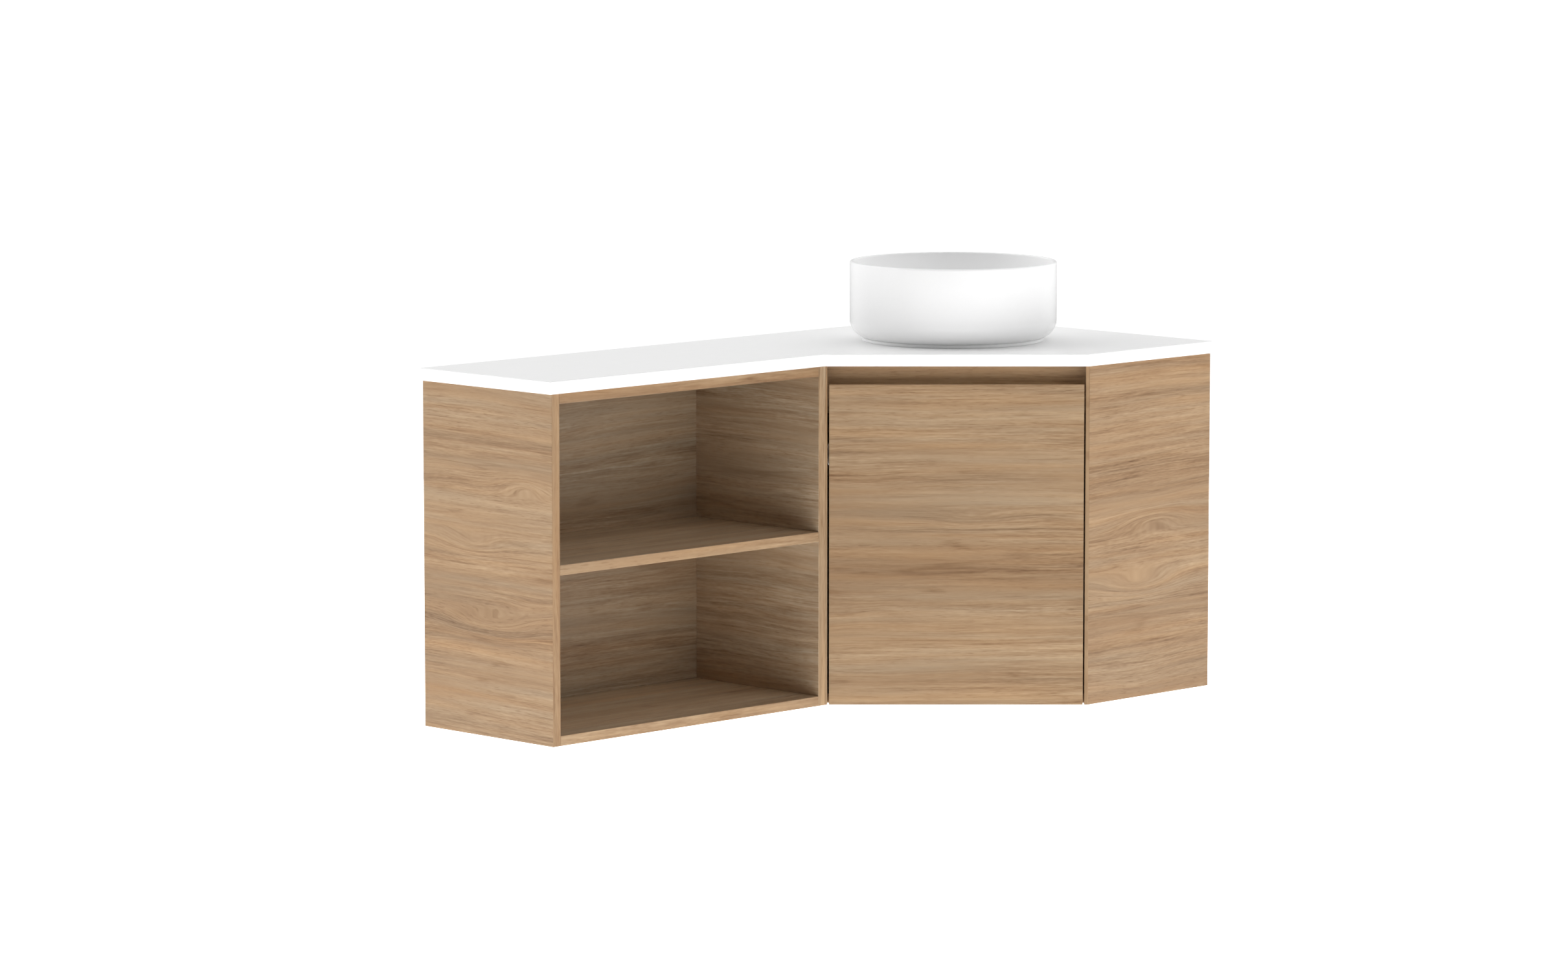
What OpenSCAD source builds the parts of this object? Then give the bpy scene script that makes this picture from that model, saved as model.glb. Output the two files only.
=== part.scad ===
// Wall-hung corner vanity: an open shelf wing beside a diagonal corner
// cupboard with one finger-pull door, a flat benchtop and a round vessel basin
// with its pop-up waste and bottle trap.
//
// Frame, millimetres: the origin is the room corner at the height of the
// cabinets' underside. +X runs out along one wall (the shelf wing lies on it),
// +Y runs out along the other wall, +Z is up. The door faces the room along
// the bisector of the corner.

/* [Cabinets] */
// Height of both cabinets
cab_h = 550; // [540:5:620]
// Board thickness of every panel
board = 16; // [16:0.5:18]
// Outer end of the shelf wing, measured from the corner
wing_end = 1194; // [1100:2:1194]
// Depth of the shelf wing
wing_d = 297; // [285:1:298]
// Where the shelf wing starts, measured from the corner
wing_start = 594; // [592:1:596]
// Outer face of the corner cupboard's end panel, measured from the corner
end_face = 594.5; // [592:0.5:596]
// Height of the underside of the middle shelf
shelf_z = 267; // [200:1:330]

/* [Door] */
// Distance from the corner to the door's front face, along the bisector
door_g = 627.2; // [626.5:0.1:628]
// Left edge of the door, from the bisector
door_l = 204.5; // [203:0.1:205]
// Right edge of the door, from the bisector
door_r = 205.2; // [205:0.1:205.5]
// Height of the door
door_h = 520; // [500:1:525]
// Half width of the door opening on its left
open_l = 207.2; // [206.5:0.1:208]
// Half width of the door opening on its right
open_r = 207.5; // [207:0.1:208]
// How far the carcass front lies behind the door's front face
carcass_set = 19; // [18.5:0.5:22]
// How far the finger-pull rail lies behind the door's front face
rail_set = 37; // [32:1:45]
// Height of the lower hinge
hinge_lo = 90; // [70:5:130]
// Height of the upper hinge
hinge_hi = 430; // [380:5:440]

/* [Benchtop] */
// Length of the benchtop along the shelf wing's wall
top_l = 1200; // [1100:5:1200]
// Length of the benchtop along the other wall
top_w = 600; // [596:1:604]
// Depth of the benchtop over the shelf wing
top_d = 300; // [298:1:304]
// Thickness of the benchtop
top_t = 20; // [15:1:30]

/* [Basin] */
// Distance of the basin's centre from each wall
basin_c = 284.5; // [270:0.5:300]
// Outer radius of the basin
basin_r = 169.5; // [150:0.5:180]
// Height of the basin
basin_h = 130; // [110:1:150]
// Wall thickness at the rim
basin_wall = 6; // [5:0.5:8]
// Outer radius of the foot
foot_r = 149; // [120:1:152]
// Height of the foot
foot_h = 4.5; // [4:0.5:8]
// Radius between the outer wall and the underside
basin_fillet = 30; // [24:1:34]
// Thickness of the bowl's floor above the benchtop
floor_h = 15; // [13:0.5:18]

/* [Waste and trap] */
// Radius of the waste hole through basin and benchtop
waste_hole_r = 22.5; // [22:0.5:24]
// Travel of the pop-up plug
plug_travel = 9; // [6:1:10]
// Height of the centre line of the outlet pipe
outlet_z = 360; // [340:5:380]
// Outer radius of the outlet pipe
outlet_r = 20; // [16:1:20]

/* [Wall fixing] */
// Height of the row of wall-fixing holes
fix_z = 510; // [500:1:520]
// Radius of a wall-fixing hole
fix_r = 3; // [2.5:0.5:4]
// Spacing of the wall-fixing holes
fix_pitch = 300; // [260:10:300]

/* [Hidden] */
$fn = 64;

s2 = sqrt(2);
wi = wing_start + board;          // inner face of the wing's inner panel
we = wing_end - board;            // inner face of the wing's end panel
ci = wing_start - board;          // inner face of the corner side panel
ei = end_face - board;            // inner face of the corner end panel
back_g = door_g - board;          // door's back face along the bisector
car_g = door_g - carcass_set;     // carcass front along the bisector
rail_g = door_g - rail_set;       // finger-pull rail's front face
top_z = cab_h + top_t;            // benchtop's upper face
pin_a = 7;                        // hinge axis, from the door's right edge
pin_b = 10;                       // hinge axis, from the door's back face
px = door_r - pin_a;              // hinge axis across the door
py = -back_g - pin_b;             // hinge axis, away from the corner
pin_x = -(px + py) / s2;          // hinge axis in the row frame
pin_y = (px - py) / s2;
hinge_z = [hinge_lo, hinge_hi];
cup_u = -14.5;                    // hinge cup centre beside the axis
cup_r = 17.5;
// heights of the four unit screws and their depths from the wall
unit_sc = [for (y = [60, 240]) for (z = [130, 420]) [y, z]];
// dowels: centre of the joint plane, then the direction into the drilled face
wing_dw = [for (y = [60, 240]) for (z = [board / 2, cab_h - board / 2])
             for (k = [0, 1]) [y, z, k]];
shelf_dw = [for (y = [80, 240]) for (k = [0, 1]) [y, shelf_z + board / 2, k]];
back_dz = [cab_h - 75, cab_h - 20, board + 24, board + 74];
// one lightly rounded arc as a list of points
function arc(cx, cy, r, a0, a1, n) =
  [for (i = [0:n]) let (a = a0 + (a1 - a0) * i / n) [cx + r * cos(a), cy + r * sin(a)]];

// across the door (u), away from the room (v), up (z): turned into the row
module diag() { rotate([0, 0, 135]) children(); }
// the same, with its origin on the hinge axis
module at_pin() { diag() translate([px, py, 0]) children(); }
// a cylinder along +X or +Y
module cx(r, l) { rotate([0, 90, 0]) cylinder(r = r, h = l); }
module cy(r, l) { rotate([-90, 0, 0]) cylinder(r = r, h = l); }
module ring(ro, ri, h) { difference() { cylinder(r = ro, h = h); translate([0, 0, -1]) cylinder(r = ri, h = h + 2); } }
module at_basin() { translate([basin_c, basin_c, 0]) children(); }

oak = [0.72, 0.58, 0.44];
steel = [0.72, 0.73, 0.75];
plastic = [0.93, 0.93, 0.92];

// ---- dowels: 12 mm into the face, 18 mm into the end grain ----
module dowel_x(x, y, z, k, r, o) { // k = 0: face looks to +X, k = 1: to -X
  translate([k == 0 ? x - 12 - o : x - 18 - o, y, z]) cx(r, 30 + 2 * o);
}
module dowel_y(x, y, z, k, r, o) {
  translate([x, k == 0 ? y - 12 - o : y - 18 - o, z]) cy(r, 30 + 2 * o);
}
module wing_dowel_set(r, o) {
  for (d = concat(wing_dw, shelf_dw))
    dowel_x(d[2] == 0 ? wi : we, d[0], d[1], d[2], r, o);
}
module corner_dowel_set(r, o) {
  for (y = [60, 220]) dowel_x(ci, y, board / 2, 1, r, o);
  for (x = [60, 220]) dowel_y(x, ei, board / 2, 1, r, o);
  for (z = back_dz) {
    dowel_x(ci, board / 2, z, 1, r, o);
    dowel_y(board / 2, ei, z, 1, r, o);
    dowel_y(board / 2, board, z, 0, r, o);
  }
}

// ---- shelf wing ----
module wing_end_panel() {
  color(oak) difference() {
    translate([we, 0, 0]) cube([board, wing_d, cab_h]);
    wing_dowel_set(4.05, 0.5);
  }
}
module wing_inner_panel() {
  color(oak) difference() {
    translate([wing_start, 0, 0]) cube([board, wing_d, cab_h]);
    wing_dowel_set(4.05, 0.5);
    for (s = unit_sc) translate([wing_start - 1, s[0], s[1]]) cx(2.05, 13.5);
  }
}
module wing_board(z, y0) {
  translate([wi, y0, z]) cube([we - wi, wing_d - y0, board]);
}
module wing_top_panel() {
  color(oak) difference() { wing_board(cab_h - board, 0); wing_dowel_set(4.05, 0.5); }
}
module wing_bottom_panel() {
  color(oak) difference() { wing_board(0, 0); wing_dowel_set(4.05, 0.5); }
}
module wing_shelf() {
  color(oak) difference() { wing_board(shelf_z, board); wing_dowel_set(4.05, 0.5); }
}
module fix_holes_left() {
  for (i = [0:3]) translate([150 + fix_pitch * i, -1, fix_z]) cy(fix_r, board + 2);
}
module wing_back_panel() {
  color(oak) difference() {
    translate([wi, 0, board]) cube([we - wi, board, cab_h - 2 * board]);
    fix_holes_left();
  }
}

// ---- corner cupboard ----
module corner_side_panel() {
  // front end: flush with the wing, then cut back along the opening
  xa = open_l * s2 + wing_d;
  color(oak) difference() {
    linear_extrude(cab_h) polygon([[ci, 0], [wing_start, 0], [wing_start, wing_d],
      [xa, wing_d], [ci, wing_d - (xa - ci)]]);
    corner_dowel_set(4.05, 0.5);
    for (s = unit_sc) translate([ci - 1, s[0], s[1]]) cx(2.3, board + 2);
  }
}
module corner_end_panel() {
  // the tip stands flush with the door's front face
  gs = door_g * s2;
  ws = open_r * s2;
  color(oak) difference() {
    linear_extrude(cab_h) polygon([[0, ei], [ei - ws, ei], [(gs - ws) / 2, (gs + ws) / 2],
      [gs - end_face, end_face], [0, end_face]]);
    corner_dowel_set(4.05, 0.5);
    for (z = hinge_z) hinge_plate_holes(z, 1.7);
  }
}
module corner_bottom_panel() {
  g = car_g * s2;
  color(oak) difference() {
    linear_extrude(board) polygon([[0, 0], [ci, 0], [ci, g - ci], [g - ei, ei], [0, ei]]);
    corner_dowel_set(4.05, 0.5);
  }
}
module finger_pull_rail() {
  g1 = rail_g * s2;
  g0 = (rail_g - board) * s2;
  color(oak) translate([0, 0, cab_h - 80]) linear_extrude(80)
    polygon([[ci, g0 - ci], [ci, g1 - ci], [g1 - ei, ei], [g0 - ei, ei]]);
}
module corner_back_left() {
  // the outlet pipe passes through with room for a coupling around it
  color(oak) difference() {
    translate([0, 0, board]) cube([ci, board, cab_h - board]);
    fix_holes_left();
    translate([basin_c, -1, outlet_z]) cy(outlet_r + 5, board + 2);
    corner_dowel_set(4.05, 0.5);
  }
}
module corner_back_right() {
  color(oak) difference() {
    translate([0, board, board]) cube([board, ei - board, cab_h - board]);
    for (i = [0:1]) translate([-1, 150 + fix_pitch * i, fix_z]) cx(fix_r, board + 2);
    corner_dowel_set(4.05, 0.5);
  }
}
module wing_dowels() { color([0.85, 0.72, 0.52]) wing_dowel_set(4, 0); }
module corner_dowels() { color([0.85, 0.72, 0.52]) corner_dowel_set(4, 0); }
module unit_screws() {
  // pan heads inside the cupboard, shanks into the wing's inner panel
  color(steel) for (s = unit_sc) translate([ci, s[0], s[1]]) {
    cx(2, board + 12);
    translate([-2.4, 0, 0]) cx(4, 2.4);
  }
}

// ---- door ----
module door_panel() {
  color(oak) difference() {
    diag() difference() {
      translate([-door_l, -door_g, 0]) cube([door_l + door_r, board, door_h]);
      // 45 degree finger bevel along the top of the back
      translate([-door_l - 1, -back_g, door_h - 11]) rotate([-45, 0, 0])
        translate([0, -20, 0]) cube([door_l + door_r + 2, 25, 20]);
    }
    at_pin() for (z = hinge_z) translate([0, 0, z]) {
      // cup bore, 2.5 mm short of the front face
      translate([cup_u, -3.5, 0]) cy(cup_r + 0.05, 30);
      // slot that the arm swings through
      translate([-3, -2.7, -6.3]) cube([20, 30, 12.6]);
      for (k = [-1, 1]) translate([-20, 0, k * 24]) cy(1.7, 20);
    }
  }
}
module hinge_cups() {
  color(steel) at_pin() for (z = hinge_z) translate([0, 0, z]) difference() {
    union() {
      difference() {
        union() {
          translate([cup_u, -3.5, 0]) cy(cup_r, 13.5);
          // flange on the door's back face
          translate([-26.5, 10, -31]) cube([13, 1.2, 62]);
          translate([cup_u, 10, 0]) cy(cup_r, 1.2);
        }
        translate([cup_u, -2.7, 0]) cy(cup_r - 1, 20);
      }
      // lugs that hold the pin's ends
      intersection() {
        translate([cup_u, -3.5, 0]) cy(cup_r - 0.5, 8);
        for (k = [-1, 1]) translate([-4, -3, k * 8.15 - 1.75]) cube([8, 6, 3.5]);
      }
    }
    translate([-2.6, -2.7, -6.3]) cube([20, 30, 12.6]);
    translate([0, 0, -8.1]) cylinder(r = 1.02, h = 16.2);
    for (k = [-1, 1]) translate([-20, 0, k * 24]) cy(2, 20);
  }
}
module hinge_cup_screws() {
  color(steel) at_pin() for (z = hinge_z) for (k = [-1, 1])
    translate([-20, 0, z + k * 24]) {
      translate([0, 0.5, 0]) cy(1.6, 10.7);
      translate([0, 11.2, 0]) cy(3.2, 1.4);
    }
}
module hinge_pins() {
  color(steel) at_pin() for (z = hinge_z) translate([0, 0, z - 8]) cylinder(r = 1, h = 16);
}
module door_bumpers() {
  color([0.9, 0.9, 0.88, 0.7]) diag() for (x = [-door_l + 25, door_r - 60])
    translate([x, -back_g, board / 2]) cy(4, carcass_set - board - 0.3);
}

// ---- hinge parts on the end panel ----
plate_x = 210;                    // centre of the mounting plates along the end panel
module hinge_plate_holes(z, r) {
  for (k = [-1, 1]) translate([plate_x, ei - 3, z + k * 16]) cy(r, 14.5);
}
module hinge_arms() {
  // eye on the pin, a straight web out of the cup, then a bar along the panel
  color(steel) for (z = hinge_z) {
    at_pin() translate([0, 0, z - 6]) difference() {
      union() {
        cylinder(r = 2.5, h = 12);
        translate([-1.2, 0, 0]) cube([2.4, 16, 12]);
      }
      translate([0, 0, -1]) cylinder(r = 1.05, h = 14);
    }
    translate([plate_x - 30, ei - 12.6, z - 6])
      cube([pin_x - 15.9 / s2 - plate_x + 30, 2.4, 12]);
  }
}
module hinge_plates() {
  // base on the panel with a saddle that the arm lies on
  color(steel) for (z = hinge_z) difference() {
    union() {
      translate([plate_x - 9, ei - 1.6, z - 23]) cube([18, 1.6, 46]);
      translate([plate_x - 24, ei - 10.2, z - 8]) cube([48, 10.2, 16]);
    }
    translate([plate_x - 23, ei - 8.8, z - 6.8]) cube([46, 8.9, 13.6]);
    hinge_plate_holes(z, 2);
  }
}
module hinge_plate_screws() {
  color(steel) for (z = hinge_z) for (k = [-1, 1]) translate([plate_x, ei, z + k * 16]) {
    translate([0, -1.6, 0]) cy(1.65, 12.6);
    translate([0, -3, 0]) cy(3.2, 1.4);
  }
}

// ---- benchtop ----
module benchtop() {
  c = (top_w - top_d);
  color([0.95, 0.95, 0.94]) difference() {
    translate([0, 0, cab_h]) linear_extrude(top_t)
      polygon([[0, 0], [top_l, 0], [top_l, top_d], [top_w, top_d], [c, top_w], [0, top_w]]);
    at_basin() translate([0, 0, cab_h - 1]) cylinder(r = waste_hole_r, h = top_t + 2);
  }
}

// ---- basin ----
bowl_r = basin_r - basin_wall;    // radius of the bowl inside the rim
bowl_f = 34;                      // radius between the bowl's wall and floor
module basin() {
  rr = basin_wall / 2;
  fc = foot_h + basin_fillet;     // height of the outer fillet's centre
  // angle at which the outer fillet meets the foot
  a0 = -acos((foot_r - (basin_r - basin_fillet)) / basin_fillet);
  color([0.96, 0.96, 0.96]) at_basin() translate([0, 0, top_z]) rotate_extrude($fn = 128)
    polygon(concat(
      [[waste_hole_r, foot_h], [foot_r - 12, foot_h], [foot_r - 12, 0], [foot_r - 1, 0], [foot_r, 1], [foot_r, foot_h + 0.6],
       [foot_r - 1.6, fc + basin_fillet * sin(a0) - 0.35]],
      arc(basin_r - basin_fillet, fc, basin_fillet, a0, 0, 12),
      arc(basin_r - rr, basin_h - rr, rr, 0, 180, 8),
      arc(bowl_r - bowl_f, floor_h + 2 + bowl_f, bowl_f, 0, -90, 12),
      [[34, floor_h], [32.5, floor_h - 2.5], [waste_hole_r, floor_h - 2.5]]));
}

// ---- pop-up waste ----
flange_z = top_z + floor_h - 2.5; // seat of the waste flange in the bowl
module waste_body() {
  // flange and threaded tail with a cross bar that guides the plug's stem
  color("silver") at_basin() placed_waste() difference() {
    union() {
      rotate_extrude() difference() {
        polygon([[0, -95], [20.5, -95], [20.5, 0.6], [31, 0.6], [31, 2.2], [30, 3.1], [0, 3.1]]);
        translate([0, -96]) square([17, 110]);
      }
      translate([-17.2, -2.5, -30]) cube([34.4, 5, 14]);
      translate([0, 0, -30]) cylinder(r = 6.5, h = 14);
    }
    translate([0, 0, -40]) cylinder(r = 4.05, h = 30);
  }
}
module placed_waste() { translate([0, 0, flange_z]) children(); }
module waste_seal() {
  color([0.15, 0.15, 0.15]) at_basin() placed_waste() ring(30.5, 20.55, 0.6);
}
module waste_plug() {
  // domed cap on a stem, resting on the flange
  color("silver") at_basin() placed_waste() union() {
    rotate_extrude() polygon(concat([[0, 3.4], [29, 3.4], [30, 4.2]],
      [for (i = [1:8]) [30 - 30 * i / 8, 5 + 4.2 * sin(90 * i / 8)]]));
    translate([0, 0, -29 - plug_travel]) cylinder(r = 4, h = 33 + plug_travel);
    translate([0, 0, -3]) cylinder(r = 14, h = 6.5);
  }
}
module backnut_gasket() {
  color([0.15, 0.15, 0.15]) at_basin() translate([0, 0, cab_h - 3]) ring(31, 20.55, 3);
}
module waste_backnut() {
  color("silver") at_basin() difference() {
    union() {
      translate([0, 0, cab_h - 5]) cylinder(r = 31, h = 2);
      translate([0, 0, cab_h - 15]) cylinder(r = 29, h = 10, $fn = 8);
    }
    translate([0, 0, cab_h - 16]) cylinder(r = 20.55, h = 20);
  }
}

// ---- bottle trap ----
tail_z = flange_z - 95;           // lower end of the waste tail
bot_t = outlet_z + 34;            // top of the trap's bottle
bot_b = outlet_z - 42;            // bottom of the bottle's wall
module grip_nut(r, ri, h, lip, lr) {
  // round nut with grip ribs; a lip closes in on the smaller tube
  difference() {
    union() {
      cylinder(r = r, h = h);
      for (i = [0:11]) rotate([0, 0, 30 * i]) translate([r - 1.5, -1.6, 0]) cube([3, 3.2, h]);
    }
    translate([0, 0, lip]) cylinder(r = ri, h = h);
    translate([0, 0, -1]) cylinder(r = lr, h = h);
  }
}
module trap_slip_nut() {
  color(plastic) at_basin() translate([0, 0, tail_z - 4]) grip_nut(25, 20.55, 22, 4, 16.05);
}
module trap_inlet_tube() {
  // slides up against the tail, dips into the bottle's water
  color(plastic) at_basin() difference() {
    union() {
      translate([0, 0, bot_b + 12]) cylinder(r = 16, h = tail_z - bot_b - 12);
    }
    translate([0, 0, bot_b]) cylinder(r = 14.2, h = 400);
  }
}
module trap_neck_nut() {
  color(plastic) at_basin() translate([0, 0, bot_t + 16]) mirror([0, 0, 1]) grip_nut(25, 20.55, 16, 4, 16.05);
}
module trap_body() {
  color(plastic) at_basin() difference() {
    union() {
      translate([0, 0, bot_b]) cylinder(r = 33, h = bot_t - 6 - bot_b);
      translate([0, 0, bot_t - 6]) cylinder(r = 28, h = 6);
      translate([0, 0, bot_t - 1]) cylinder(r = 20.5, h = 13);
      translate([0, -58, outlet_z]) cy(outlet_r + 3, 40);
    }
    translate([0, 0, bot_b - 1]) cylinder(r = 30, h = bot_t - 8 - bot_b);
    translate([0, 0, bot_b]) cylinder(r = 16.05, h = 120);
    // socket for the outlet pipe, with a stop
    translate([0, -60, outlet_z]) cy(outlet_r + 0.05, 25);
    translate([0, -60, outlet_z]) cy(outlet_r - 2, 60);
  }
}
module trap_cup() {
  // removable cup that screws over the bottle's lower end
  color(plastic) at_basin() difference() {
    union() {
      translate([0, 0, bot_b - 18]) cylinder(r = 37, h = 34);
      for (i = [0:15]) rotate([0, 0, 22.5 * i]) translate([35.5, -1.6, bot_b - 14]) cube([3, 3.2, 26]);
      translate([0, 0, bot_b - 30]) cylinder(r = 24, h = 14);
    }
    translate([0, 0, bot_b]) cylinder(r = 33.05, h = 60);
    translate([0, 0, bot_b - 15]) cylinder(r = 29, h = 40);
    translate([0, 0, bot_b - 27]) cylinder(r = 21, h = 20);
  }
}
module trap_outlet_nut() {
  color(plastic) at_basin() translate([0, -62, outlet_z]) rotate([-90, 0, 0])
    grip_nut(outlet_r + 6, outlet_r + 3.05, 18, 4, outlet_r + 0.05);
}
module outlet_pipe() {
  // the collar stops a push-on coupling 40 mm from the free end
  color(plastic) translate([basin_c, 0, outlet_z]) difference() {
    union() {
      cy(outlet_r, basin_c - 36);
      translate([0, 40, 0]) cy(outlet_r + 2, 3);
    }
    translate([0, -1, 0]) cy(outlet_r - 2, basin_c);
  }
}

wing_end_panel();
wing_inner_panel();
wing_top_panel();
wing_bottom_panel();
wing_shelf();
wing_back_panel();
corner_side_panel();
corner_end_panel();
corner_bottom_panel();
finger_pull_rail();
corner_back_left();
corner_back_right();
wing_dowels();
corner_dowels();
unit_screws();
door_panel();
hinge_cups();
hinge_cup_screws();
hinge_pins();
hinge_arms();
hinge_plates();
hinge_plate_screws();
door_bumpers();
benchtop();
basin();
waste_body();
waste_seal();
waste_plug();
backnut_gasket();
waste_backnut();
trap_slip_nut();
trap_inlet_tube();
trap_neck_nut();
trap_body();
trap_cup();
trap_outlet_nut();
outlet_pipe();
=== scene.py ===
import math

import bmesh
import bpy
from mathutils import Matrix, Vector


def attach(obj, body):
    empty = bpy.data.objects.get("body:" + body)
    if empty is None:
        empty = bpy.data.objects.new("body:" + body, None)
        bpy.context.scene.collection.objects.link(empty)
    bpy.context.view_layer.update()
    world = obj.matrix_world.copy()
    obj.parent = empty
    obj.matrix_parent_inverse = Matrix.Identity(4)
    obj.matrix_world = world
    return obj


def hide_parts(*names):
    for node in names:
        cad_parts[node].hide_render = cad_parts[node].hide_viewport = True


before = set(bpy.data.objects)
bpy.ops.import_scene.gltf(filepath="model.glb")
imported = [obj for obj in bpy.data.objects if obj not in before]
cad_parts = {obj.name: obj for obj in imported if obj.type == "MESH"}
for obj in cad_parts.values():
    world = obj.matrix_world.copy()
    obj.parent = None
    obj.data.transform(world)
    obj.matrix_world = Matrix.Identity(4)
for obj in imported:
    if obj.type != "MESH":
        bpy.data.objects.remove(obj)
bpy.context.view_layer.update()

# ---------------------------------------------------------------- dimensions (metres)
S2 = math.sqrt(2.0)
BC = 0.2845                      # basin centre from both walls
TOP_Z = 0.570                    # upper face of the benchtop
U = Vector((-1 / S2, 1 / S2, 0))    # across the door, to the right
V = Vector((-1 / S2, -1 / S2, 0))   # away from the room

scene = bpy.context.scene

# ---------------------------------------------------------------- node helpers


class Net:
    """Small helper around a node tree."""

    def __init__(self, tree):
        self.t = tree
        self.n = tree.nodes
        self.l = tree.links

    def node(self, kind, **props):
        nd = self.n.new(kind)
        for k, v in props.items():
            setattr(nd, k, v)
        return nd

    def link(self, a, b):
        self.l.new(a, b)

    def put(self, sock, value):
        if hasattr(value, "links"):
            self.link(value, sock)
        else:
            sock.default_value = value

    def math(self, op, a, b=None, c=None, clamp=False):
        nd = self.node("ShaderNodeMath", operation=op, use_clamp=clamp)
        self.put(nd.inputs[0], a)
        if b is not None:
            self.put(nd.inputs[1], b)
        if c is not None:
            self.put(nd.inputs[2], c)
        return nd.outputs[0]

    def comb(self, x, y, z):
        nd = self.node("ShaderNodeCombineXYZ")
        for s, v in zip(nd.inputs, (x, y, z)):
            self.put(s, v)
        return nd.outputs[0]

    def sep(self, v):
        nd = self.node("ShaderNodeSeparateXYZ")
        self.link(v, nd.inputs[0])
        return nd.outputs

    def dot(self, v, axis):
        nd = self.node("ShaderNodeVectorMath", operation="DOT_PRODUCT")
        self.link(v, nd.inputs[0])
        nd.inputs[1].default_value = axis
        return nd.outputs["Value"]

    def noise(self, vec, scale=1.0, detail=2.0, rough=0.5, lac=2.0, dist=0.0):
        nd = self.node("ShaderNodeTexNoise")
        self.link(vec, nd.inputs["Vector"])
        nd.inputs["Scale"].default_value = scale
        nd.inputs["Detail"].default_value = detail
        nd.inputs["Roughness"].default_value = rough
        nd.inputs["Lacunarity"].default_value = lac
        nd.inputs["Distortion"].default_value = dist
        return nd.outputs["Fac"]

    def ramp(self, fac, stops, interp="LINEAR"):
        nd = self.node("ShaderNodeValToRGB")
        r = nd.color_ramp
        r.interpolation = interp
        while len(r.elements) < len(stops):
            r.elements.new(0.5)
        for e, (p, c) in zip(r.elements, stops):
            e.position = p
            e.color = (*c, 1) if isinstance(c, tuple) else (c, c, c, 1)
        self.link(fac, nd.inputs[0])
        return nd.outputs[0]

    def mix(self, fac, a, b, mode="MIX"):
        nd = self.node("ShaderNodeMix", data_type="RGBA", blend_type=mode)
        self.put(nd.inputs[0], fac)
        for s, v in ((nd.inputs[6], a), (nd.inputs[7], b)):
            if hasattr(v, "links"):
                self.link(v, s)
            else:
                s.default_value = (*v, 1)
        return nd.outputs[2]

    def maprange(self, v, a, b, c, d, kind="LINEAR"):
        nd = self.node("ShaderNodeMapRange", interpolation_type=kind)
        self.put(nd.inputs[0], v)
        for i, x in enumerate((a, b, c, d)):
            nd.inputs[i + 1].default_value = x
        return nd.outputs[0]


def material(name):
    m = bpy.data.materials.new(name)
    m.use_nodes = True
    t = m.node_tree
    t.nodes.clear()
    net = Net(t)
    out = net.node("ShaderNodeOutputMaterial")
    bsdf = net.node("ShaderNodeBsdfPrincipled")
    net.link(bsdf.outputs[0], out.inputs[0])
    return m, net, bsdf


def bump(net, bsdf, height, strength, distance):
    nd = net.node("ShaderNodeBump")
    nd.inputs["Strength"].default_value = strength
    nd.inputs["Distance"].default_value = distance
    net.link(height, nd.inputs["Height"])
    net.link(nd.outputs[0], bsdf.inputs["Normal"])
    return nd


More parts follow.
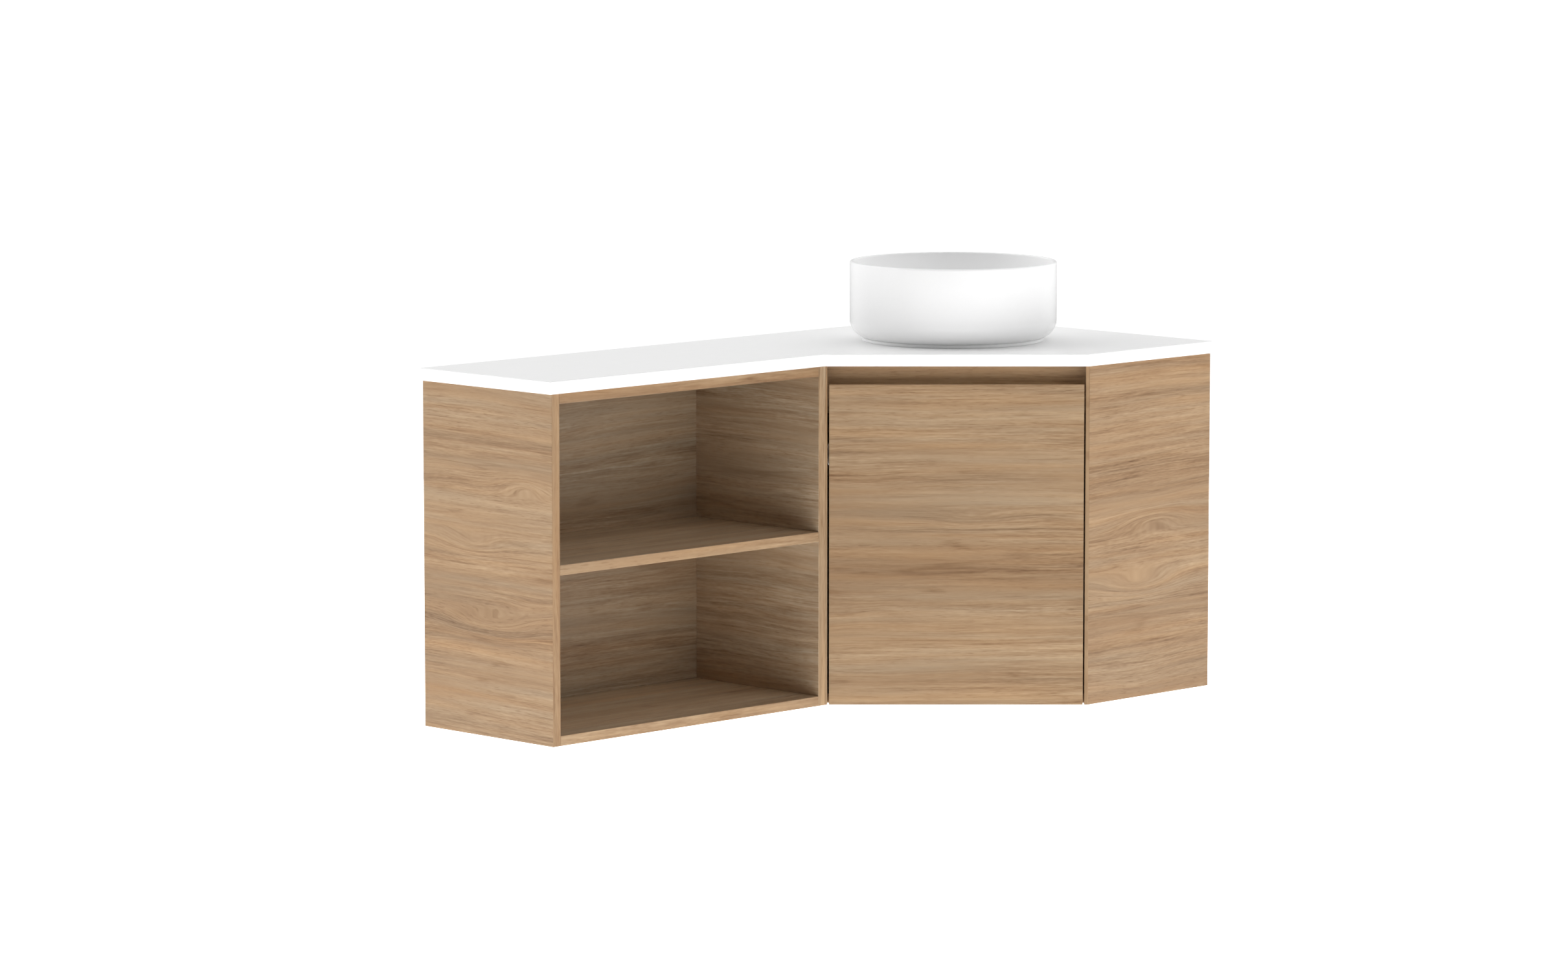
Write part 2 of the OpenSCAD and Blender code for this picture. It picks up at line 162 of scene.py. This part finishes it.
# ---------------------------------------------------------------- oak laminate
def oak(name, along, across, seed, tone=1.0, swirl=1.0, warm=0.0, cool=0.0, eyes=()):
    """Light oak decor. along / across are unit vectors in the face, so each panel's grain runs the way it was cut."""
    m, net, bsdf = material(name)
    co = net.node("ShaderNodeTexCoord").outputs["Object"]
    u = net.math("ADD", net.dot(co, along), 3.17 * seed)
    v = net.math("ADD", net.dot(co, across), 1.93 * seed)
    # slow wander of the growth rings, a finer one, and here and there a swirl
    w1 = net.noise(net.comb(net.math("MULTIPLY", u, 1.3), net.math("MULTIPLY", v, 3.0), 0.37 * seed), detail=1.0)
    w2 = net.noise(net.comb(net.math("MULTIPLY", u, 5.5), net.math("MULTIPLY", v, 13.0), 1.7 + seed), detail=1.0)
    w3 = net.noise(net.comb(net.math("MULTIPLY", u, 3.4), net.math("MULTIPLY", v, 11.0), 5.1 + seed), detail=1.0)
    sw = net.math("MULTIPLY", net.maprange(w3, 0.50, 0.78, 0.0, 1.0, "SMOOTHSTEP"), 0.0045 * swirl)
    vw = net.math("MULTIPLY_ADD", net.math("SUBTRACT", w1, 0.5), 0.034, v)
    vw = net.math("MULTIPLY_ADD", net.math("SUBTRACT", w2, 0.5), 0.0024, vw)
    vw = net.math("ADD", vw, sw)
    # cathedral figure: place along, place across, half length, half width, lift
    for eu, ev, ea, eb, lift in eyes:
        du = net.math("MULTIPLY", net.math("SUBTRACT", u, eu + 3.17 * seed), 1.0 / ea)
        dv = net.math("MULTIPLY", net.math("SUBTRACT", v, ev + 1.93 * seed), 1.0 / eb)
        r2 = net.math("ADD", net.math("MULTIPLY", du, du), net.math("MULTIPLY", dv, dv))
        vw = net.math("MULTIPLY_ADD", net.math("EXPONENT", net.math("MULTIPLY", r2, -1.0)), lift, vw)

    def layer(su, sv, z, detail=0.0, rough=0.5):
        return net.noise(net.comb(net.math("MULTIPLY", u, su), net.math("MULTIPLY", vw, sv), z + seed), detail=detail, rough=rough)

    # tone from wide boards down to hairlines: along, across, strength
    BANDS = [
        (0.28, 7.0, 11.0, 0.38), (0.42, 14.0, 17.0, 0.40), (0.70, 28.0, 23.0, 0.34), (1.5, 57.0, 31.0, 0.30),
        (3.2, 113.0, 37.0, 0.30), (7.0, 227.0, 43.0, 0.42), (20.0, 470.0, 53.0, 0.42), (80.0, 760.0, 59.0, 0.28),
    ]
    patch = net.maprange(layer(2.4, 20.0, 61.0, 1.0), 0.36, 0.64, 0.45, 1.5)
    k = None
    parts = []
    for su, sv, z, amp in BANDS:
        n = layer(su, sv, z)
        parts.append(n)
        step = net.math("SUBTRACT", n, 0.5)
        if sv > 80:
            step = net.math("MULTIPLY", step, patch)
        k = net.math("MULTIPLY_ADD", step, amp, 1.03 if k is None else k)
    mid, fine = parts[2], parts[5]
    # dark thin lines, and short pores
    line_a = net.math("ABSOLUTE", net.math("SUBTRACT", layer(1.3, 30.0, 83.0, 1.0), 0.5))
    line_b = net.math("ABSOLUTE", net.math("SUBTRACT", layer(3.4, 62.0, 97.0, 1.0), 0.5))
    gate_a = net.maprange(layer(5.5, 24.0, 101.0, 1.0), 0.50, 0.66, 0.0, 1.0, "SMOOTHSTEP")
    gate_b = net.maprange(layer(9.0, 40.0, 113.0, 1.0), 0.50, 0.66, 0.0, 1.0, "SMOOTHSTEP")
    la = net.math("MULTIPLY", net.maprange(line_a, 0.0, 0.024, 1.0, 0.0, "SMOOTHSTEP"), gate_a)
    lb = net.math("MULTIPLY", net.maprange(line_b, 0.0, 0.036, 1.0, 0.0, "SMOOTHSTEP"), gate_b)
    lines = net.math("MAXIMUM", la, net.math("MULTIPLY", lb, 0.85))
    pore = net.maprange(layer(46.0, 560.0, 131.0, 1.0), 0.60, 0.68, 0.0, 1.0)
    pore = net.math("MULTIPLY", pore, net.maprange(mid, 0.42, 0.62, 0.2, 1.0))
    k = net.math("MULTIPLY_ADD", lines, -0.20, k)
    # thin pale streaks between the darker ones
    pale = net.maprange(layer(2.2, 95.0, 89.0, 1.0), 0.56, 0.72, 0.0, 1.0, "SMOOTHSTEP")
    k = net.math("MULTIPLY_ADD", pale, 0.10, k)
    k = net.math("MULTIPLY_ADD", pore, -0.20, k)
    k = net.math("MAXIMUM", k, 0.3)
    # darker grain is redder; a slow drift from pinkish brown to olive lies over it
    tint = net.math("SUBTRACT", net.math("MULTIPLY_ADD", layer(2.6, 60.0, 79.0, 1.0), 0.60, net.math("MULTIPLY", layer(0.8, 19.0, 71.0, 1.0), 0.40)), 0.5 - warm)
    # tone scales the base colour and the cooling argument shifts it towards blue; set above 1 and 0 they paint light
    # into boards that sit in shade
    red = net.math("MULTIPLY", net.math("POWER", k, 0.82), net.math("MULTIPLY_ADD", tint, 0.108, 0.324 * tone * (1.0 - 0.5 * cool)))
    green = net.math("MULTIPLY", net.math("POWER", k, 1.05), 0.2055 * tone * (1.0 + 0.25 * cool))
    blue = net.math("MULTIPLY", net.math("POWER", k, 1.28), net.math("MULTIPLY_ADD", tint, -0.050, 0.1105 * tone * (1.0 + 1.5 * cool)))
    net.link(net.comb(red, green, blue), bsdf.inputs["Base Color"])
    rough = net.math("MULTIPLY_ADD", net.math("SUBTRACT", fine, 0.5), 0.30, 0.50)
    rough = net.math("MULTIPLY_ADD", lines, 0.10, rough)
    net.link(rough, bsdf.inputs["Roughness"])
    bsdf.inputs["IOR"].default_value = 1.45
    bsdf.inputs["Specular IOR Level"].default_value = 0.35
    h = net.math("SUBTRACT", net.math("MULTIPLY", fine, 0.5), net.math("MULTIPLY_ADD", lines, 0.8, net.math("MULTIPLY", pore, 0.5)))
    bump(net, bsdf, h, 0.35, 0.00025)
    return m


X, Y, Z = (1, 0, 0), (0, 1, 0), (0, 0, 1)
D = tuple(U)
OAK = {
    "x": lambda n, s, **k: oak(n, X, Z, s, **k),      # face in XZ, grain along X
    "y": lambda n, s, **k: oak(n, Y, Z, s, **k),      # face in YZ, grain along Y
    "d": lambda n, s, **k: oak(n, D, Z, s, **k),      # diagonal face
    "fx": lambda n, s, **k: oak(n, X, Y, s, **k),     # floor, grain along X
    "edge_z": lambda n, s, **k: oak(n, Z, tuple((Vector(X) + Vector(Y)).normalized()), s, swirl=0.1, **k),
    "edge_x": lambda n, s, **k: oak(n, X, tuple((Vector(Y) + Vector(Z)).normalized()), s, swirl=0.1, **k),
    "edge_y": lambda n, s, **k: oak(n, Y, tuple((Vector(X) + Vector(Z)).normalized()), s, swirl=0.1, **k),
    "edge_d": lambda n, s, **k: oak(n, D, tuple((0.94 * V - 0.34 * Vector(Z)).normalized()), s, swirl=0.1, **k),
}


# ---------------------------------------------------------------- other finishes
def speckle(name, base, lo, hi, rough, spread, scale, ior=1.5, spec=0.5, metal=0.0, bump_s=0.05, bump_d=0.0002, aniso=None, coat=0.0):
    """A plain finish with fine, true-scale variation in colour, gloss and surface."""
    m, net, bsdf = material(name)
    co = net.node("ShaderNodeTexCoord").outputs["Object"]
    vec = co
    if aniso:
        nd = net.node("ShaderNodeVectorMath", operation="MULTIPLY")
        net.link(co, nd.inputs[0])
        nd.inputs[1].default_value = aniso
        vec = nd.outputs[0]
    a = net.noise(vec, scale=scale, detail=3.0, rough=0.6)
    b = net.noise(vec, scale=scale * 0.06, detail=2.0, rough=0.5)
    f = net.math("ADD", net.math("MULTIPLY", a, 0.5), net.math("MULTIPLY", b, 0.5))
    c = net.ramp(f, [(0.30, tuple(x * lo for x in base)), (0.70, tuple(min(1, x * hi) for x in base))])
    net.link(c, bsdf.inputs["Base Color"])
    net.link(net.maprange(a, 0.3, 0.7, rough - spread, rough + spread), bsdf.inputs["Roughness"])
    bsdf.inputs["Metallic"].default_value = metal
    bsdf.inputs["IOR"].default_value = ior
    bsdf.inputs["Specular IOR Level"].default_value = spec
    bsdf.inputs["Coat Weight"].default_value = coat
    bump(net, bsdf, a, bump_s, bump_d)
    return m


MAT = {
    "top": speckle("solid_surface_white", (0.925, 0.925, 0.922), 0.985, 1.01, 0.42, 0.04, 900, spec=0.35, bump_s=0.10, bump_d=0.00002),
    "glaze": speckle("satin_glaze_white", (0.985, 0.985, 0.985), 0.992, 1.005, 0.25, 0.02, 110, ior=1.52, bump_s=0.10, bump_d=0.00002),
    "chrome": speckle("polished_chrome", (0.86, 0.87, 0.88), 0.97, 1.02, 0.07, 0.025, 300, metal=1.0, bump_s=0.03, bump_d=0.00001),
    "steel": speckle("nickel_plated_steel", (0.76, 0.76, 0.75), 0.98, 1.02, 0.34, 0.03, 1500, metal=1.0, bump_s=0.04, bump_d=0.00001, aniso=(1, 1, 0.15)),
    "plastic": speckle("white_trap_plastic", (0.83, 0.83, 0.81), 0.97, 1.02, 0.38, 0.05, 1400, spec=0.45, bump_s=0.15, bump_d=0.00003),
    "rubber": speckle("black_rubber", (0.022, 0.022, 0.023), 0.8, 1.3, 0.72, 0.06, 2200, spec=0.3, bump_s=0.15),
    "soft": speckle("soft_stop", (0.70, 0.70, 0.67), 0.96, 1.03, 0.45, 0.06, 1800, spec=0.4, bump_s=0.15, bump_d=0.00003),
    "beech": speckle("beech", (0.60, 0.43, 0.27), 0.85, 1.1, 0.62, 0.05, 300, spec=0.3, bump_s=0.2, aniso=(0.2, 0.2, 1.0)),
}


# ---------------------------------------------------------------- mesh helpers
def new_object(name, bm, mats, smooth_deg=35.0):
    me = bpy.data.meshes.new(name)
    bm.normal_update()
    bm.to_mesh(me)
    bm.free()
    for mt in mats:
        me.materials.append(mt)
    ob = bpy.data.objects.new(name, me)
    scene.collection.objects.link(ob)
    if smooth_deg is not None:
        for p in me.polygons:
            p.use_smooth = True
        me.set_sharp_from_angle(angle=math.radians(smooth_deg))
    return ob


def board_copy(node, name, mats, pick, width=0.0006, segs=2):
    """The CAD board with its arrises eased, one material a face direction."""
    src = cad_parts[node]
    bm = bmesh.new()
    bm.from_mesh(src.data)
    bm.transform(src.matrix_world)
    bmesh.ops.remove_doubles(bm, verts=bm.verts, dist=1e-6)
    bmesh.ops.dissolve_limit(bm, angle_limit=math.radians(1.0), verts=bm.verts, edges=bm.edges)
    sharp = []
    for e in bm.edges:
        if len(e.link_faces) == 2 and e.calc_length() > 0.012 and e.calc_face_angle(0) > math.radians(30):
            sharp.append(e)
    done = bmesh.ops.bevel(bm, geom=sharp, offset=width, offset_type="OFFSET", segments=segs, profile=0.5, affect="EDGES", clamp_overlap=True)
    bm.normal_update()
    for f in bm.faces:
        f.material_index = pick(f.normal)
        f.smooth = False
    for f in done["faces"]:
        f.smooth = True
    return new_object(name, bm, mats, None)


def lathe(name, prof, n, centre, mats, axis="Z", pick=None, smooth=35):
    """Turned body from a closed or open profile of (r, h)."""
    bm = bmesh.new()
    rings = []
    for r, h in prof:
        if r < 1e-7:
            p = Vector((0, 0, h))
            rings.append([bm.verts.new(p)])
        else:
            rings.append([bm.verts.new((r * math.cos(2 * math.pi * i / n), r * math.sin(2 * math.pi * i / n), h)) for i in range(n)])
    for a, b in zip(rings, rings[1:]):
        for i in range(n):
            j = (i + 1) % n
            if len(a) == 1 and len(b) == 1:
                continue
            if len(a) == 1:
                bm.faces.new((a[0], b[j], b[i]))
            elif len(b) == 1:
                bm.faces.new((a[i], a[j], b[0]))
            else:
                bm.faces.new((a[i], a[j], b[j], b[i]))
    bmesh.ops.recalc_face_normals(bm, faces=bm.faces)
    if axis == "Y":
        bm.transform(Matrix.Rotation(math.radians(-90), 4, "X"))
    bm.transform(Matrix.Translation(centre))
    if pick:
        bm.normal_update()
        for f in bm.faces:
            f.material_index = pick(f)
    return new_object(name, bm, mats, smooth)


def arc(cx, cy, r, a0, a1, n):
    return [(cx + r * math.cos(math.radians(a0 + (a1 - a0) * i / n)), cy + r * math.sin(math.radians(a0 + (a1 - a0) * i / n))) for i in range(n + 1)]


def place(ob, node, body):
    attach(ob, body)
    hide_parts(*([node] if isinstance(node, str) else node))
    return ob


# ---------------------------------------------------------------- camera
cam = bpy.data.cameras.new("camera")
cam_ob = bpy.data.objects.new("camera", cam)
scene.collection.objects.link(cam_ob)
cam.sensor_width = 36.0
cam.lens = 36.0 * 10028.5 / 2421.0
cam.clip_start, cam.clip_end = 0.1, 200.0
cam_ob.location = (7.9676, 7.5760, 1.62296)
cam_ob.rotation_euler = (math.pi / 2 - 0.1222, 0.0, math.radians(135.0))
scene.camera = cam_ob

# ---------------------------------------------------------------- cabinet boards


def add_board(node, face, seed, body="cabinet", edge=None, **kw):
    """face: direction of the grain on the broad faces; the other faces get the banding."""
    broad = OAK[face]("oak_" + node, seed, **kw)
    ez = OAK["edge_z"]("band_z_" + node, seed + 0.31)
    ex = OAK[edge or "edge_x"]("band_x_" + node, seed + 0.57)
    n_broad = {"x": Vector(Y), "y": Vector(X), "d": V, "fx": Vector(Z)}[face]

    def pick(n):
        if abs(n.dot(n_broad)) > 0.9:
            return 0
        if face == "fx" or abs(n.z) > 0.7:
            return 2
        return 1

    ob = board_copy(node, node + "_board", [broad, ez, ex], pick)
    place(ob, node, body)
    return ob


# painted light: the boards that line the open shelves get base colours made paler (tone up to 1.46) and cooler,
# standing in for light that the shade inside the shelves holds back and cancelling the warm bounce between boards
add_board("wing_end_panel", "y", 2.0, edge="edge_y", swirl=1.6, eyes=((0.150, 0.180, 0.095, 0.022, 0.020), (0.235, 0.400, 0.060, 0.016, -0.018), (0.120, 0.300, 0.070, 0.018, 0.015)))
add_board("wing_inner_panel", "y", 5.0, edge="edge_y", tone=1.46, cool=0.18)
add_board("wing_top_panel", "fx", 7.0, cool=0.18)
add_board("wing_bottom_panel", "fx", 9.0, tone=1.44, cool=0.21)
add_board("wing_shelf", "fx", 11.0, tone=1.44, cool=0.21)
add_board("wing_back_panel", "x", 13.0, tone=1.08, cool=0.14)
add_board("corner_side_panel", "y", 15.0, edge="edge_y")
add_board("corner_end_panel", "x", 17.0, eyes=((0.140, 0.290, 0.080, 0.018, -0.022), (0.170, 0.185, 0.095, 0.022, 0.026)))
add_board("corner_bottom_panel", "fx", 19.0)
# painted light: the finger-pull rail's base colour is made 40 % paler to stand in for light in the shaded recess
# above the door
add_board("finger_pull_rail", "d", 21.0, edge="edge_d", tone=1.40)
add_board("corner_back_left", "x", 23.0)
add_board("corner_back_right", "y", 27.0, edge="edge_y")
add_board("door_panel", "d", 31.0, body="door", edge="edge_d", eyes=((0.020, 0.300, 0.075, 0.016, 0.012),))

# ---------------------------------------------------------------- benchtop
top = board_copy("benchtop", "benchtop_slab", [MAT["top"]], lambda n: 0, width=0.0012, segs=3)
place(top, "benchtop", "cabinet")

# ---------------------------------------------------------------- basin
RO, RW, HB, FR, FH, FIL, BF, FLO = 0.1695, 0.006, 0.130, 0.149, 0.0045, 0.030, 0.034, 0.015
a0 = -math.degrees(math.acos((FR - (RO - FIL)) / FIL))
prof = [(0.0225, FH), (0.060, FH), (FR - 0.0125, FH)]
prof += [(FR - 0.012, FH - 0.0006), (FR - 0.012, 0.0006), (FR - 0.0114, 0.0)]
prof += [(FR - 0.0012, 0.0)] + arc(FR - 0.0012, 0.0012, 0.0012, -90, 0, 5)[1:]
prof += [(FR, FH - 0.0002), (FR - 0.0003, FH + 0.0004), (FR - 0.0010, FH + 0.0007), (FR - 0.0016, FH + 0.0010), (FR - 0.0012, FH + 0.00135)]
prof += arc(RO - FIL, FH + FIL, FIL, a0 + 1.2, 0, 22)
prof += [(RO, 0.060), (RO, 0.095)]
prof += arc(RO - RW / 2, HB - RW / 2, RW / 2, 0, 180, 14)
prof += [(RO - RW, 0.095), (RO - RW, 0.070)]
prof += arc(RO - RW - BF, FLO + 0.002 + BF, BF, 0, -90, 20)
prof += [(0.100, FLO + 0.0014), (0.060, FLO + 0.0006), (0.0355, FLO + 0.0001)]
prof += [(0.0342, FLO - 0.0003), (0.0334, FLO - 0.0012), (0.0328, FLO - 0.0022), (0.0320, FLO - 0.0025), (0.0225, FLO - 0.0025), (0.0225, FH)]
basin = lathe("basin_ceramic", prof, 192, Vector((BC, BC, TOP_Z)), [MAT["glaze"]], smooth=40)
place(basin, "basin", "cabinet")

# ---------------------------------------------------------------- carried-over CAD nodes
for node, key in {
    "wing_dowels": "beech", "corner_dowels": "beech", "unit_screws": "steel", "hinge_cups": "steel",
    "hinge_cup_screws": "steel", "hinge_pins": "steel", "hinge_arms": "steel", "hinge_plates": "steel",
    "hinge_plate_screws": "steel", "door_bumpers": "soft", "waste_body": "chrome", "waste_seal": "rubber",
    "waste_plug": "chrome", "backnut_gasket": "rubber", "waste_backnut": "chrome", "trap_slip_nut": "plastic",
    "trap_inlet_tube": "plastic", "trap_neck_nut": "plastic", "trap_body": "plastic", "trap_cup": "plastic",
    "trap_outlet_nut": "plastic", "outlet_pipe": "plastic",
}.items():
    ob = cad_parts[node]
    for s in ob.material_slots:
        s.material = MAT[key]

# ---------------------------------------------------------------- stage and light
fl = bmesh.new()
bmesh.ops.create_circle(fl, cap_ends=True, cap_tris=False, segments=96, radius=7.0)
fl.transform(Matrix.Translation((1.2, 1.2, -0.34)))
floor_mat, net, bsdf = material("pale_floor")
bsdf.inputs["Base Color"].default_value = (0.93, 0.93, 0.93, 1)
bsdf.inputs["Roughness"].default_value = 0.9
bsdf.inputs["Specular IOR Level"].default_value = 0.0
bsdf.inputs["Emission Color"].default_value = (1, 1, 1, 1)
bsdf.inputs["Emission Strength"].default_value = 1.41
floor = new_object("floor", fl, [floor_mat])

world = bpy.data.worlds.new("studio")
scene.world = world
world.use_nodes = True
wt = world.node_tree
wt.nodes.clear()
wn = Net(wt)
# a tent of soft lights around the object: direction (degrees round from the wall with the shelves, then up), width, strength
TENT = [
    (90, 28, 12.0, 1.41),
    (-45, 28, 12.0, 1.87),
    (135, 28, 12.0, 0.30),
    (180, 8, 7.0, 0.84),
    (-90, 8, 7.0, 0.80),
    (165, 50, 6.0, 1.20),
    (-135, 50, 6.0, 0.52),
    (-75, 50, 6.0, 1.20),
]
sky = wn.node("ShaderNodeTexCoord").outputs["Generated"]
total = None
for az, el, k, strength in TENT:
    a_, e_ = math.radians(az), math.radians(el)
    d_ = wn.dot(sky, (math.cos(a_) * math.cos(e_), math.sin(a_) * math.cos(e_), math.sin(e_)))
    lobe = wn.math("MULTIPLY", wn.math("EXPONENT", wn.math("MULTIPLY", wn.math("SUBTRACT", d_, 1.0), k)), strength)
    total = lobe if total is None else wn.math("ADD", total, lobe)
wout = wn.node("ShaderNodeOutputWorld")
bg = wn.node("ShaderNodeBackground")
bg.inputs["Color"].default_value = (1, 1, 1, 1)
wn.link(total, bg.inputs["Strength"])
bg_cam = wn.node("ShaderNodeBackground")
bg_cam.inputs["Color"].default_value = (1, 1, 1, 1)
bg_cam.inputs["Strength"].default_value = 1.15
lp = wn.node("ShaderNodeLightPath")
mx = wn.node("ShaderNodeMixShader")
wn.link(lp.outputs["Is Camera Ray"], mx.inputs[0])
wn.link(bg.outputs[0], mx.inputs[1])
wn.link(bg_cam.outputs[0], mx.inputs[2])
wn.link(mx.outputs[0], wout.inputs[0])

scene.view_settings.view_transform = "Standard"
scene.view_settings.look = "None"
scene.view_settings.exposure = 0.0
scene.view_settings.gamma = 1.0
